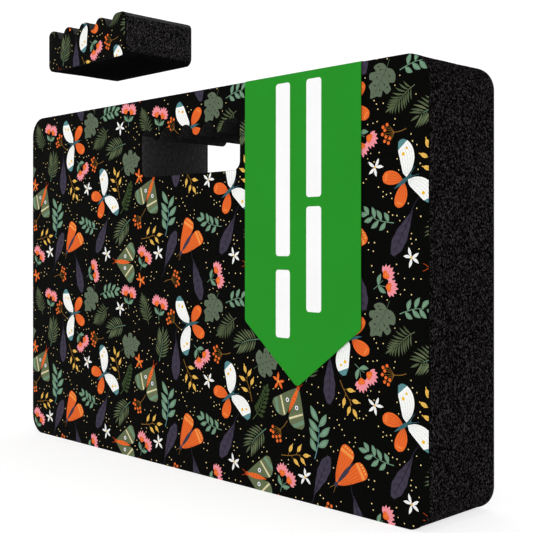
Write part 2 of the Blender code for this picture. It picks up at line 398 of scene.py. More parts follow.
def lobed_leaf():
    s = []
    body = [
        (0.2, -10.4), (4.2, -11.4), (8.4, -9.6), (10.8, -5.6), (7.6, -4.0), (11.4, -0.6), (9.6, 3.0), (6.2, 2.6),
        (7.6, 7.0), (4.2, 9.4), (1.6, 13.6), (-2.4, 9.8), (-6.0, 8.2), (-4.8, 4.0), (-9.2, 4.6), (-10.6, 0.2),
        (-6.6, -2.4), (-10.6, -5.0), (-8.6, -9.6), (-4.2, -11.4),
    ]
    s.append(("slate", spline(body, 3, True)))
    for x, y in ((4.6, -6.6), (-4.4, -6.4), (4.4, -1.0), (-3.8, 0.2), (3.0, 4.6), (-2.6, 5.2), (7.2, -7.6), (-7.2, 0.6)):
        s.append(("ground", oval(x, y, 0.85, 0.42, 40 if x > 0 else -40, 7)))
    for side in (-1, 1):
        for y, long in ((-8.6, 6.6), (-5.0, 8.6), (-1.0, 8.6), (3.0, 6.0), (6.6, 3.6)):
            s.append(("slatedark", line([(0, y), (side * long * 0.5, y + long * 0.12), (side * long * 0.9, y + long * 0.36)], 0.14, 0.08, 2)))
    s.append(("slatedark", line([(1.6, -16.0), (0.2, -8), (0.2, 2), (0.8, 11)], 0.34, 0.12, 3)))
    return s, [(1, -14, 2.0), (0, -5, 10.2), (0, 3, 8.2), (0.6, 10, 4.2)]


def bloom():
    """Two flower heads side by side over a pair of leaves."""
    s = [("sage", line([(1.6, -13.0), (0.4, -8.0), (-1.4, -3.0)], 0.24, 0.2, 3)), ("sage", line([(0.4, -8.0), (2.6, -4.0), (3.8, -1.6)], 0.22, 0.2, 3))]
    for base, a, bow, long in (((0.4, -8.2), 142, 0.6, 8.6), ((0.6, -8.4), 34, -0.6, 8.8)):
        s.append(("sage", blade(base, a, long, 1.75, 0.5, bow=bow, n=6)))
        s.append(("sagelight", rib(base, a, long, bow, 0.2, 0.1)))
    for base, lean in (((-3.6, 0.0), 108), ((4.4, -0.6), 62)):
        for k in range(7):
            a = lean + (k - 3) * 22
            long = (7.4, 8.4, 9.0, 9.4, 9.0, 8.4, 7.4)[k]
            s.append(("pink", blade(base, a, long, 1.5, 0.56, n=6, blunt=1.0)))
        s.append(("pink", oval(*(turned([(3.4, 0)], lean)[0] + base), 3.0, 3.6, lean, 9)))
        for k in range(5):
            a = lean + (k - 2) * 22
            s.append(("rose", rib(base, a, 8.2, 0, 0.12, 0.07, 0.42, 0.86, 2)))
        cup = [turned([(r, 0)], lean + d)[0] + base for d, r in ((-104, 2.2), (-66, 3.8), (-32, 3.6), (0, 3.0), (32, 3.6), (66, 3.8), (104, 2.2), (180, 1.9))]
        s.append(("orange", spline(cup, 3, True)))
        for k in range(4):
            s.append(("amber", rib(base, lean + (k - 1.5) * 28, 4.0, 0, 0.13, 0.08, 0.1, 0.7, 2)))
    return s, [(1, -11, 1.8), (-2.6, -5.4, 3.6), (4.4, -5.6, 3.8), (-5.2, 3.4, 5.6), (6.4, 3.0, 5.6)]


def star(petal, mark, middle, long=7.2, w=1.55):
    s = []
    for k in range(5):
        a = 90 + 72 * k + (6, -5, 3, -6, 4)[k]
        r = long * (1.0, 0.94, 1.05, 0.97, 1.02)[k]
        s.append((petal, blade((0, 0), a, r, w, 0.52, bow=(0.3, -0.3)[k % 2], n=6, blunt=0.95)))
        s.append((mark, rib((0, 0), a, r, (0.3, -0.3)[k % 2], 0.13, 0.08, 0.25, 0.78, 2)))
    s.append((middle, oval(0, 0, 0.95, n=8)))
    return s, [(0, 0, 5.2)]


def white_flower():
    return star("white", "silver", "gold", 7.2, 1.12)


def orange_flower():
    return star("orange", "amber", "gold", 6.9, 1.16)


def gold_sprig():
    stem = spline([(-3.6, -14), (-0.8, -6), (0.4, 1), (2.6, 7)], 6)
    s = [("bronze", line(stem[::4], 0.3, 0.18, 1))]
    for t, a, off, long in ((0.3, 56, 3.2, 7.0), (0.46, -52, 3.2, 6.8), (0.7, 46, 2.6, 6.8), (0.84, -48, 2.2, 6.4), (1.0, 4, 0.6, 6.8)):
        p, h = at(stem, t), heading(stem, t) + a
        q = p + turned([(off, 0)], h)[0]
        s.append(("bronze", line([p, q], 0.17, 0.17)))
        s.append(("gold", blade(q, h, long, 1.55, 0.46, n=7, blunt=0.85)))
        s.append(("bronze", rib(q, h, long, 0, 0.12, 0.08, 0.1, 0.6, 2)))
        tip = q + turned([(long, 0)], h)[0]
        s.append(("gold", line([q + turned([(long - 0.8, 0)], h)[0], tip + turned([(0.8, 0)], h)[0]], 0.25, 0.42)))
    return s, [(-2.8, -11, 2.2), (-3.6, -3.4, 4.2), (3.6, -3.4, 4.2), (-2.2, 4.6, 4.2), (5.0, 4.4, 4.0), (3.0, 11, 3.2)]


def umbel():
    s = [("bronze", line([(0.6, -13), (-0.2, -8), (0, -2.6)], 0.26, 0.2, 3))]
    heads = [(-6.2, 3.0), (-4.4, 6.0), (-1.6, 4.6), (0.6, 7.4), (3.0, 5.0), (5.4, 6.2), (6.4, 2.6), (-3.2, 1.4)]
    for x, y in heads:
        s.append(("bronze", line([(0, -2.8), (x * 0.6, y * 0.28 - 1.0), (x, y)], 0.13, 0.12, 3)))
    for x, y in heads:
        s.append(("orange", oval(x, y, 1.25, n=10)))
        s.append(("amber", oval(x - 0.35, y + 0.4, 0.36, n=5)))
    return s, [(0.2, -10, 1.8), (0, -5, 2.6), (-3.2, 3, 4.4), (3.4, 3.4, 4.6)]


MOTIFS = {
    "butterfly": butterfly,
    "green_moth": green_moth,
    "orange_moth": orange_moth,
    "feather": feather,
    "palm": palm,
    "frond": frond,
    "sage_sprig": sage_sprig,
    "small_sprig": small_sprig,
    "dark_sprig": dark_sprig,
    "lobed_leaf": lobed_leaf,
    "bloom": bloom,
    "white_flower": white_flower,
    "orange_flower": orange_flower,
    "gold_sprig": gold_sprig,
    "umbel": umbel,
}
REPEAT = (156.0, 147.0)


# The motifs in one repeat: kind, how many, size.
COUNTS = (
    ("butterfly", 2, 0.91),
    ("green_moth", 2, 0.79),
    ("orange_moth", 1, 0.84),
    ("feather", 4, 0.9),
    ("palm", 3, 0.89),
    ("frond", 2, 0.88),
    ("sage_sprig", 1, 0.97),
    ("small_sprig", 2, 0.94),
    ("dark_sprig", 1, 1.02),
    ("lobed_leaf", 2, 0.91),
    ("bloom", 5, 0.88),
    ("white_flower", 4, 0.88),
    ("orange_flower", 2, 0.9),
    ("gold_sprig", 3, 0.9),
    ("umbel", 4, 0.9),
)
LARGE = ("butterfly", "green_moth", "orange_moth")
GAP_WANTED = 3.3


def packed_layout(seed, steps=900):
    """Spreads the motifs over one repeat so that none touches another: each is a
    few discs, which push the others away across the repeat's edges as well."""
    rng = np.random.default_rng(seed)
    todo = [(k, z) for k, n, z in COUNTS for _ in range(n)]
    n = len(todo)
    w, h = REPEAT
    # large ones first, on a spread-out start
    pos = np.zeros((n, 2))
    ang = rng.uniform(0, 360, n)
    cells = [(i, j) for i in range(7) for j in range(6)]
    rng.shuffle(cells)
    for i in range(n):
        c = cells[i % len(cells)]
        pos[i] = ((c[0] + 0.5) * w / 7, (c[1] + 0.5) * h / 6) + rng.uniform(-3, 3, 2)
    local, owner, rad = [], [], []
    for i, (k, z) in enumerate(todo):
        for x, y, r in MOTIFS[k]()[1]:
            local.append((x * z, y * z))
            rad.append(r * z)
            owner.append(i)
    local, owner, rad = np.array(local), np.array(owner), np.array(rad)
    mass = np.zeros(n)
    np.add.at(mass, owner, rad**2)
    apart = owner[:, None] != owner[None, :]
    # motifs of a kind keep their distance, and so do the insects
    kind = [k for k, _ in todo]
    alike = np.array([[30.0 + 34.0 * (kind.count(a) < 4) if a == b else 60.0 if a in LARGE and b in LARGE else 0.0 for b in kind] for a in kind])
    np.fill_diagonal(alike, 0.0)
    for step in range(steps):
        a = np.radians(ang[owner])
        off = np.stack(
            [
                local[:, 0] * np.cos(a) - local[:, 1] * np.sin(a),
                local[:, 0] * np.sin(a) + local[:, 1] * np.cos(a),
            ],
            1,
        )
        c = pos[owner] + off
        d = c[:, None] - c[None, :]
        d -= np.round(d / (w, h)) * (w, h)
        dist = np.linalg.norm(d, axis=2) + 1e-6
        gap = GAP_WANTED * min(1.0, step / 500)
        over = np.where(apart, np.clip(rad[:, None] + rad[None, :] + gap - dist, 0, None), 0)
        push = (d / dist[..., None] * over[..., None]).sum(1)
        turn = off[:, 0] * push[:, 1] - off[:, 1] * push[:, 0]
        share = 0.35
        move = np.zeros((n, 2))
        np.add.at(move, owner, push)
        spin = np.zeros(n)
        np.add.at(spin, owner, turn)
        inertia = np.zeros(n)
        np.add.at(inertia, owner, (off**2).sum(1) + rad**2 * 0.5)
        count = np.bincount(owner, minlength=n)
        pos += share * move / np.sqrt(count)[:, None] * 0.5
        if step < 420:
            d = pos[:, None] - pos[None, :]
            d -= np.round(d / (w, h)) * (w, h)
            dist = np.linalg.norm(d, axis=2) + 1e-6
            pos += 0.06 * (d / dist[..., None] * np.clip(alike - dist, 0, None)[..., None]).sum(1)
        ang += np.degrees(np.clip(share * spin / inertia, -0.06, 0.06))
        pos %= (w, h)
    return [(k, float(p[0]), float(p[1]), float(q), z) for (k, z), p, q in zip(todo, pos, ang)], float(over.sum()), float(over.max())


def placed(layout):
    out = []
    for kind, x, y, deg, z in layout:
        for ink, pts in MOTIFS[kind]()[0]:
            out.append((ink, turned(np.asarray(pts, float) * z, deg) + (x, y)))
    return out


def inside(poly, pts):
    """Which of pts lie inside poly (non-zero winding)."""
    x, y = pts[:, 0], pts[:, 1]
    wind = np.zeros(len(pts), int)
    a = poly
    b = np.roll(poly, -1, axis=0)
    for (x0, y0), (x1, y1) in zip(a, b):
        if y0 == y1:
            continue
        side = (x1 - x0) * (y - y0) - (x - x0) * (y1 - y0)
        wind += ((y0 <= y) & (y1 > y) & (side > 0)).astype(int)
        wind -= ((y1 <= y) & (y0 > y) & (side < 0)).astype(int)
    return wind != 0


def scattered_dots(shapes, seed, want=210):
    """Small dots in the gaps between the motifs."""
    rng = np.random.default_rng(seed)
    w, h = REPEAT
    q = 0.6
    nx, ny = int(w / q), int(h / q)
    full = np.zeros((ny, nx), bool)
    for ink, p in shapes:
        x0, y0 = np.floor(p.min(0) / q - 1).astype(int)
        x1, y1 = np.ceil(p.max(0) / q + 1).astype(int)
        gx, gy = np.meshgrid(np.arange(x0, x1), np.arange(y0, y1))
        pts = np.stack([(gx.ravel() + 0.5) * q, (gy.ravel() + 0.5) * q], 1)
        hit = inside(p, pts)
        full[gy.ravel()[hit] % ny, gx.ravel()[hit] % nx] = True
    near = full.copy()
    for _ in range(3):  # 1.8 mm clear of every motif
        near |= np.roll(near, 1, 0) | np.roll(near, -1, 0) | np.roll(near, 1, 1) | np.roll(near, -1, 1)
    free = np.argwhere(~near)
    rng.shuffle(free)
    knots = []  # the dots lie in loose groups
    for j, i in free:
        p = np.array([i * q, j * q])
        d = np.array(knots).reshape(-1, 2) - p
        d -= np.round(d / (w, h)) * (w, h)
        if not (np.hypot(d[:, 0], d[:, 1]) < 15.0).any():
            knots.append(p)
    dots = []
    for j, i in free:
        p = np.array([(i + rng.uniform(0.2, 0.8)) * q, (j + rng.uniform(0.2, 0.8)) * q])
        d = np.array(knots) - p
        d -= np.round(d / (w, h)) * (w, h)
        if np.hypot(d[:, 0], d[:, 1]).min() > 7.2:
            continue
        if dots:
            d = np.array(dots)[:, :2] - p
            d -= np.round(d / (w, h)) * (w, h)
            if (np.hypot(d[:, 0], d[:, 1]) < 2.9).any():
                continue
        dots.append((p[0], p[1], 0.37 + 0.13 * rng.random()))
        if len(dots) >= want:
            break
    return [("dot", oval(x, y, r, n=7)) for x, y, r in dots], 1 - full.mean()
LAYOUT_SEED = 508


# ---------------------------------------------------------------------------
# Materials
# ---------------------------------------------------------------------------


def linear(rgb):
    out = []
    for c in rgb:
        c /= 255.0
        out.append(c / 12.92 if c <= 0.04045 else ((c + 0.055) / 1.055) ** 2.4)
    return (*out, 1.0)


class Nodes:
    """A short way to build a material's nodes."""

    def __init__(self, name):
        self.mat = bpy.data.materials.new(name)
        self.mat.use_nodes = True
        self.nt = self.mat.node_tree
        self.bsdf = self.nt.nodes["Principled BSDF"]
        self.coord = self.nt.nodes.new("ShaderNodeTexCoord").outputs["Object"]

    def node(self, kind, **values):
        n = self.nt.nodes.new(kind)
        for k, v in values.items():
            if hasattr(n, k):
                setattr(n, k, v)
            else:
                n.inputs[k.replace("_", " ")].default_value = v
        return n

    def link(self, a, b):
        self.nt.links.new(a, b)
        return b.node

    def set(self, **values):
        for k, v in values.items():
            self.bsdf.inputs[k.replace("_", " ")].default_value = v

    def scaled(self, scale):
        m = self.node("ShaderNodeMapping")
        m.inputs["Scale"].default_value = scale
        self.link(self.coord, m.inputs["Vector"])
        return m.outputs["Vector"]

    def noise(self, scale, detail=2.0, rough=0.5, vector=None):
        n = self.node("ShaderNodeTexNoise", Scale=scale, Detail=detail, Roughness=rough)
        self.link(vector or self.coord, n.inputs["Vector"])
        return n.outputs["Fac"]

    def cells(self, scale, feature="F1", vector=None):
        n = self.node("ShaderNodeTexVoronoi", feature=feature, Scale=scale)
        self.link(vector or self.coord, n.inputs["Vector"])
        return n.outputs["Distance"]

    def wave(self, direction, scale, distort=0.0):
        n = self.node("ShaderNodeTexWave", wave_type="BANDS", bands_direction=direction, wave_profile="SIN")
        n.inputs["Scale"].default_value = scale
        n.inputs["Distortion"].default_value = distort
        n.inputs["Detail"].default_value = 1.0
        n.inputs["Detail Scale"].default_value = 2.0
        self.link(self.coord, n.inputs["Vector"])
        return n.outputs["Fac"]

    def math(self, op, a, b=None, clamp=False):
        n = self.node("ShaderNodeMath", operation=op, use_clamp=clamp)
        for i, v in enumerate((a, b)):
            if v is None:
                continue
            if isinstance(v, (int, float)):
                n.inputs[i].default_value = v
            else:
                self.link(v, n.inputs[i])
        return n.outputs[0]

    def spread(self, fac, low, high, to_low=0.0, to_high=1.0):
        n = self.node("ShaderNodeMapRange")
        n.inputs["From Min"].default_value = low
        n.inputs["From Max"].default_value = high
        n.inputs["To Min"].default_value = to_low
        n.inputs["To Max"].default_value = to_high
        self.link(fac, n.inputs["Value"])
        return n.outputs["Result"]

    def ramp(self, fac, stops):
        n = self.node("ShaderNodeValToRGB")
        r = n.color_ramp
        while len(r.elements) > 1:
            r.elements.remove(r.elements[-1])
        r.elements[0].position, r.elements[0].color = stops[0][0], stops[0][1]
        for at_, colour in stops[1:]:
            r.elements.new(at_).color = colour
        self.link(fac, n.inputs["Fac"])
        return n.outputs["Color"]

    def mix(self, fac, a, b, blend="MIX"):
        n = self.node("ShaderNodeMix", data_type="RGBA", blend_type=blend)
        for socket, v in ((n.inputs[0], fac), (n.inputs[6], a), (n.inputs[7], b)):
            if isinstance(v, (int, float, tuple)):
                socket.default_value = v
            else:
                self.link(v, socket)
        return n.outputs[2]

    def bump(self, height, strength=0.4, distance=0.0002, after=None):
        n = self.node("ShaderNodeBump")
        n.inputs["Strength"].default_value = strength
        n.inputs["Distance"].default_value = distance
        self.link(height, n.inputs["Height"])
        if after is not None:
            self.link(after, n.inputs["Normal"])
        return n.outputs["Normal"]

    def colour(self, socket):
        self.link(socket, self.bsdf.inputs["Base Color"])

    def roughness(self, socket):
        self.link(socket, self.bsdf.inputs["Roughness"])

    def normal(self, socket):
        self.link(socket, self.bsdf.inputs["Normal"])


def printed(name, rgb, rough, specular, sheen, grain=0.00016):
    """An ink on the woven skin: the threads run through every colour."""
    m = Nodes(name)
    m.set(Specular_IOR_Level=specular, Sheen_Weight=sheen, Sheen_Roughness=0.6)
    m.bsdf.inputs["Base Color"].default_value = linear(rgb)
    # threads every 0.55 mm, over and under each other
    warp = m.wave("X", 1 / 0.00055 / 2 / math.pi * 2, 0.6)
    weft = m.wave("Z", 1 / 0.00055 / 2 / math.pi * 2, 0.6)
    weave = m.math("MULTIPLY", warp, weft)
    slub = m.noise(900.0, 2.0)
    height = m.math("ADD", weave, m.math("MULTIPLY", slub, 0.5))
    soft = m.noise(55.0, 2.0)
    first = m.bump(height, 0.35, 0.00008)
    first = m.bump(m.noise(1150.0, 2.5), 0.8, grain, first)
    m.normal(m.bump(soft, 0.25, 0.0006, first))
    m.roughness(m.spread(m.math("ADD", m.math("MULTIPLY", weave, 0.4), soft), 0.2, 1.0, rough - 0.07, rough + 0.06))
    return m.mat


INK_MATS = {}


def ink_material(key):
    if key not in INK_MATS:
        dark = sum(INKS[key]) < 120
        INK_MATS[key] = printed(
            "print_" + key, INKS[key], 0.5 if dark else 0.84, 0.007 if dark else 0.06, 0.0, 0.0006 if dark else 0.00016
        )
    return INK_MATS[key]


def foam(name, low, mid, high, peak, grain, bump, streak=False):
    """Black closed-cell foam where a die has cut it: broken cells catch the light
    as a fine pale grain."""
    m = Nodes(name)
    m.set(Specular_IOR_Level=0.0, Sheen_Weight=0.0)
    if streak:  # the knife has drawn the cells out along the thickness a little
        vec = m.scaled((1.0, 1.0, 0.45))
        curl = m.noise(grain, 2.0, 0.55, vec)
        pores = m.cells(grain * 0.8, "F1", vec)
    else:
        curl = m.noise(grain, 1.5, 0.55)
        pores = m.cells(grain * 0.8)
    broad = m.noise(38.0, 2.0)
    fleck = m.math("ADD", m.math("MULTIPLY", curl, 0.85), m.math("MULTIPLY", pores, 0.15))
    tone = m.ramp(
        fleck,
        [(0.38, linear(low)), (0.49, linear(mid)), (0.57, linear(high)), (0.66, linear(peak))],
    )
    tone = m.mix(m.spread(broad, 0.3, 0.7, 0.0, 0.12), tone, linear(low))
    m.colour(tone)
    m.roughness(m.spread(curl, 0.3, 0.7, 0.99, 0.86))
    first = m.bump(fleck, bump, 0.0005)
    m.normal(m.bump(broad, 0.2, 0.0015, first))
    return m.mat


def plain_skin():
    """The ground side: the same woven skin, dyed black, with a fine non-slip grain."""
    m = Nodes("back_skin_black")
    m.set(Specular_IOR_Level=0.3, Sheen_Weight=0.06, Sheen_Roughness=0.5)
    warp = m.wave("X", 1 / 0.00055 / math.pi, 0.6)
    weft = m.wave("Z", 1 / 0.00055 / math.pi, 0.6)
    weave = m.math("MULTIPLY", warp, weft)
    grain = m.cells(420.0, "F1")
    soft = m.noise(40.0, 3.0)
    tone = m.ramp(
        m.math("ADD", m.math("MULTIPLY", grain, 0.6), m.math("MULTIPLY", soft, 0.4)),
        [(0.25, linear((19, 19, 20))), (0.5, linear((30, 30, 31))), (0.8, linear((46, 46, 47)))],
    )
    m.colour(tone)
    m.roughness(m.spread(grain, 0.0, 0.8, 0.92, 0.62))
    first = m.bump(grain, 0.6, 0.00035)
    second = m.bump(weave, 0.3, 0.00008, first)
    m.normal(m.bump(soft, 0.3, 0.001, second))
    return m.mat


def card(name, rgb, rough, specular, patterned=True):
    """Printed card: a satin coat over faint fibres."""
    m = Nodes(name)
    m.set(Specular_IOR_Level=specular, Coat_Weight=0.0)
    fibre = m.noise(520.0, 4.0, 0.6, m.scaled((1.0, 1.0, 0.5)))
    cloud = m.noise(26.0, 2.0)
    if patterned:
        base = linear(rgb)
        dark = linear(tuple(int(c * 0.985) for c in rgb))
        m.colour(m.mix(m.spread(cloud, 0.3, 0.7, 0.0, 1.0), base, dark))
    else:
        m.bsdf.inputs["Base Color"].default_value = linear(rgb)
    m.roughness(m.spread(fibre, 0.3, 0.7, rough - 0.05, rough + 0.07))
    first = m.bump(fibre, 0.16, 0.00012)
    m.normal(m.bump(cloud, 0.2, 0.0008, first))
    return m.mat


# ---------------------------------------------------------------------------
# Outlines, in millimetres (X to the right, Z up)
# ---------------------------------------------------------------------------


def arc(cx, cz, r, a0, a1, n):
    t = np.radians(np.linspace(a0, a1, n + 1))
    return [(cx + r * math.cos(a), cz + r * math.sin(a)) for a in t]


def tidy(points, least=0.02):
    out = []
    for p in points:
        if not out or math.dist(p, out[-1]) > least:
            out.append(p)
    if math.dist(out[0], out[-1]) <= least:
        out.pop()
    return out


def resampled(points, step):
    """Splits the long runs of a closed outline, and keeps its own points."""
    out = []
    for a, b in zip(points, points[1:] + points[:1]):
        n = max(1, round(math.dist(a, b) / step))
        for i in range(n):
            out.append((a[0] + (b[0] - a[0]) * i / n, a[1] + (b[1] - a[1]) * i / n))
    return out


def pad_outline(inset=0.0, n=16, step=1e9):
    x, z, r = PAD_WIDTH / 2 - inset, PAD_HEIGHT - inset, CORNER_R - inset
    lo = max(inset, 0.0)
    pts = (
        arc(x - r, lo + r, r, -90, 0, n)
        + arc(x - r, z - r, r, 0, 90, n)
        + arc(-x + r, z - r, r, 90, 180, n)
        + arc(-x + r, lo + r, r, 180, 270, n)
    )
    return resampled(tidy(pts), step)


def slot_outline(inset=0.0, fine=1.0, step=1e9):
    """The hand slot, counter-clockwise.  inset moves the curve inwards."""
    half = SLOT_WIDTH / 2
    gz = SLOT_TOP - GROOVE_R
    drop = FINGER_PITCH / 2
    rise = math.sqrt((GROOVE_R + RIDGE_R) ** 2 - drop**2)
    rz = gz + rise
    lean = math.degrees(math.atan2(rise, drop))
    rc, rg, rr, re = SLOT_CORNER_R - inset, GROOVE_R - inset, RIDGE_R + inset, END_R - inset
    k = lambda v: max(3, round(v * fine))  # noqa: E731
    pts = arc(half - SLOT_CORNER_R, SLOT_BOTTOM + SLOT_CORNER_R, rc, -90, 0, k(8))
    pts += arc(half - END_R, SLOT_TOP - END_R, re, 0, 90, k(10))
    for i in range(4):
        gx = (2 - i) * FINGER_PITCH + FINGER_SHIFT
        pts += arc(gx, gz, rg, 90, 180 - lean, k(7))
        pts += arc(gx - drop, rz, rr, -lean, -180 + lean, k(11))
        pts += arc(gx - FINGER_PITCH, gz, rg, lean, 90, k(7))
    pts += arc(-half + END_R, SLOT_TOP - END_R, re, 90, 180, k(10))
    pts += arc(-half + SLOT_CORNER_R, SLOT_BOTTOM + SLOT_CORNER_R, rc, 180, 270, k(8))
    return resampled(tidy(pts, 0.03), step)


def outward(loop):
    """Unit normals of a counter-clockwise loop, pointing out of it."""
    p = np.asarray(loop, float)
    e = np.roll(p, -1, axis=0) - p
    e /= np.linalg.norm(e, axis=1)[:, None] + 1e-12
    nrm = np.stack([e[:, 1], -e[:, 0]], 1)
    nrm = nrm + np.roll(nrm, 1, axis=0)
    return nrm / (np.linalg.norm(nrm, axis=1)[:, None] + 1e-12)


def normals_on(loop, points, sign=1.0):
    """The outward normals of a smooth loop, read at points that lie on it."""
    p = np.asarray(loop, float)
    nrm = outward(p)
    q, nq = np.roll(p, -1, axis=0), np.roll(nrm, -1, axis=0)
    e = q - p
    long = (e**2).sum(1) + 1e-12
    out = []
    for x in np.asarray(points, float):
        t = np.clip(((x - p) * e).sum(1) / long, 0, 1)
        d = ((p + e * t[:, None] - x) ** 2).sum(1)
        k = int(d.argmin())
        v = nrm[k] * (1 - t[k]) + nq[k] * t[k]
        out.append(v / np.linalg.norm(v) * sign)
    return np.array(out)


def flat_mesh(outline, holes, shapes, spare=(), lines=()):
    """Triangulates a flat region so that every shape's outline is an edge, and says
    which shape lies on top of each triangle.  Returns points, triangles, inks and
    the boundary loops as indices."""
    verts, edges = [], []

    def loop(pts, closed=True):
        b = len(verts)
        verts.extend(Vector((float(x), float(y))) for x, y in pts)
        n = len(pts)
        edges.extend((b + i, b + (i + 1) % n) for i in range(n if closed else n - 1))

    loop(outline)
    for h in holes:
        loop(h)
    for run in lines:
        loop(run, False)
    for _, pts in shapes:
        loop(pts)
    verts.extend(Vector((float(x), float(y))) for x, y in spare)
    co, _, faces = delaunay_2d_cdt(verts, edges, [], 0, 1e-4, False)[:3]
    co = np.array([(v[0], v[1]) for v in co])
    tri = np.array([f[:3] for f in faces])
    # counter-clockwise, and none without an area
    a, b, c = co[tri[:, 0]], co[tri[:, 1]], co[tri[:, 2]]
    area = np.cross(b - a, c - a)
    flip = area < 0
    tri[flip] = tri[flip][:, ::-1]
    mid = (a + b + c) / 3
    keep = inside(np.asarray(outline, float), mid)
    for h in holes:
        keep &= ~inside(np.asarray(h, float), mid)
    tri, mid = tri[keep], mid[keep]
    ink = np.full(len(tri), -1)
    order = np.argsort(mid[:, 0])
    xs = mid[order, 0]
    for k, (_, pts) in enumerate(shapes):
        p = np.asarray(pts, float)
        i0, i1 = np.searchsorted(xs, (p[:, 0].min(), p[:, 0].max()))
        ids = order[i0:i1]
        y = mid[ids, 1]
        ids = ids[(y >= p[:, 1].min()) & (y <= p[:, 1].max())]
        if len(ids):
            ink[ids[inside(p, mid[ids])]] = k
    # boundary loops, along their triangles' direction
    count = {}
    for t in tri.tolist():
        for u, v in ((t[0], t[1]), (t[1], t[2]), (t[2], t[0])):
            count[(u, v)] = count.get((u, v), 0) + 1
    nxt = {}
    for u, v in count:
        if (v, u) not in count:
            nxt.setdefault(u, []).append(v)
    loops = []
    while nxt:
        start = v = next(iter(nxt))
        ring = []
        while v in nxt:
            ring.append(v)
            w = nxt[v].pop()
            if not nxt[v]:
                del nxt[v]
            v = w
            if v == start:
                break
        if np.ptp(co[ring], axis=0).max() > 1.0:  # a sliver's own outline is no rim
            loops.append(ring)
    used = np.unique(tri)
    back = np.full(len(co), -1)
    back[used] = np.arange(len(used))
    return co[used], back[tri], ink, [[int(back[i]) for i in r] for r in loops]


def mesh_piece(name, verts, faces, mats, slots, smooth=True, sharp=35.0):
    me = bpy.data.meshes.new(name)
    me.from_pydata([tuple(v) for v in verts], [], faces)
    for m in mats:
        me.materials.append(m)
    if slots is not None:
        me.polygons.foreach_set("material_index", np.asarray(slots, np.int32))
    me.validate()
    me.update()
    if smooth:
        me.shade_smooth()
        me.set_sharp_from_angle(angle=math.radians(sharp))
    ob = bpy.data.objects.new(name, me)
    bpy.context.scene.collection.objects.link(ob)
    return ob


def ripple(x, z, size, amount, seed=0.0):
    """A slow, repeatable unevenness in millimetres."""
    return amount * noise.noise(Vector((x / size, z / size, seed)))


# ---------------------------------------------------------------------------
# Covers: a closed skin with a soft rim, printed or plain
# ---------------------------------------------------------------------------


def skin(name, outline_at, holes_at, shapes, mats, side, shift=(0.0, 0.0), rim=0.6, spare=(), dip=0.1):
    """outline_at(inset) and each of holes_at(inset) give the cover's outline moved into
    its own material.  side is -1 for the face towards -Y, 1 for the back."""
    flat_out = outline_at(rim)
    flat_holes = [h(-rim) for h in holes_at]
    pts, tri, ink, loops = flat_mesh(flat_out, flat_holes, shapes, spare)
    keys = sorted({shapes[k][0] for k in set(ink.tolist()) if k >= 0} | {"ground"})
    slot_of = {k: i for i, k in enumerate(keys)}
    face_slot = [slot_of[shapes[k][0]] if k >= 0 else slot_of["ground"] for k in ink]

    # how far each point lies from the rim, for the slight fall towards it
    ring = np.concatenate([np.asarray(resampled([tuple(p) for p in lp], 2.0)) for lp in [flat_out, *flat_holes]])
    near = np.full(len(pts), 1e9)
    for i in range(0, len(pts), 4000):
        d = pts[i : i + 4000, None] - ring[None]
        near[i : i + 4000] = np.sqrt((d**2).sum(2).min(1))
    level = []
    for (x, z), d in zip(pts, near):
        fall = dip * max(0.0, 1 - d / 7.0) ** 2
        wob = (ripple(x, z, 42.0, 0.14, 3.0) + 0.14) * min(1.0, d / 10.0) * 0.5
        level.append(FACE_Y - fall - wob)
    verts = [(x, side * y, z) for (x, z), y in zip(pts, level)]
    faces = [tuple(t) for t in tri.tolist()]
    slots = list(face_slot)

    edge_ink = {}
    for t, s in zip(tri.tolist(), face_slot):
        for u, v in ((t[0], t[1]), (t[1], t[2]), (t[2], t[0])):
            edge_ink[(u, v)] = s
    inner = FACE_Y - COVER_THICK
    last_rings = []
    for lp in loops:
        p = pts[lp]
        on_hole = [h for h in flat_holes if inside(np.asarray(h, float) * 1.0, p.mean(0)[None])[0] and np.ptp(p[:, 0]) < 200]
        nrm = normals_on(on_hole[0], p, -1.0) if on_hole else normals_on(flat_out, p)
        rings = [list(lp)]
        rows = [(rim * math.sin(a), rim * (1 - math.cos(a))) for a in np.radians((22.5, 45, 67.5, 90))]
        for off, down in rows:
            b = len(verts)
            for (x, z), (nx, nz), i in zip(p, nrm, lp):
                start = level[i]
                verts.append((x + nx * off, side * max(start - down, inner + 0.05), z + nz * off))
            rings.append(list(range(b, b + len(lp))))
        b = len(verts)
        for (x, z), (nx, nz) in zip(p, nrm):
            verts.append((x + nx * rim, side * inner, z + nz * rim))
        rings.append(list(range(b, b + len(lp))))
        n = len(lp)
        for r, (lo, hi) in enumerate(zip(rings, rings[1:])):
            for i in range(n):
                j = (i + 1) % n
                faces.append((lo[j], lo[i], hi[i], hi[j]))
                s = edge_ink.get((lp[i], lp[j]), slot_of["ground"])
                slots.append(s if r < 2 else slot_of["ground"])
        last_rings.append(rings[-1])
    # the bonded side
    back_co = [[(verts[i][0], verts[i][2]) for i in r] for r in last_rings]
    big = max(range(len(back_co)), key=lambda k: abs(np.ptp(np.array(back_co[k])[:, 0])))
    faces_b = fill(back_co, last_rings, big)
    faces += [f[::-1] for f in faces_b]
    slots += [slot_of["ground"]] * len(faces_b)
    if side > 0:
        faces = [f[::-1] for f in faces]
    verts = [((x + shift[0]) * MM, y * MM, (z + shift[1]) * MM) for x, y, z in verts]
    mat_list = [mats(k) for k in keys]
    return mesh_piece(name, verts, faces, mat_list, slots, sharp=50.0)


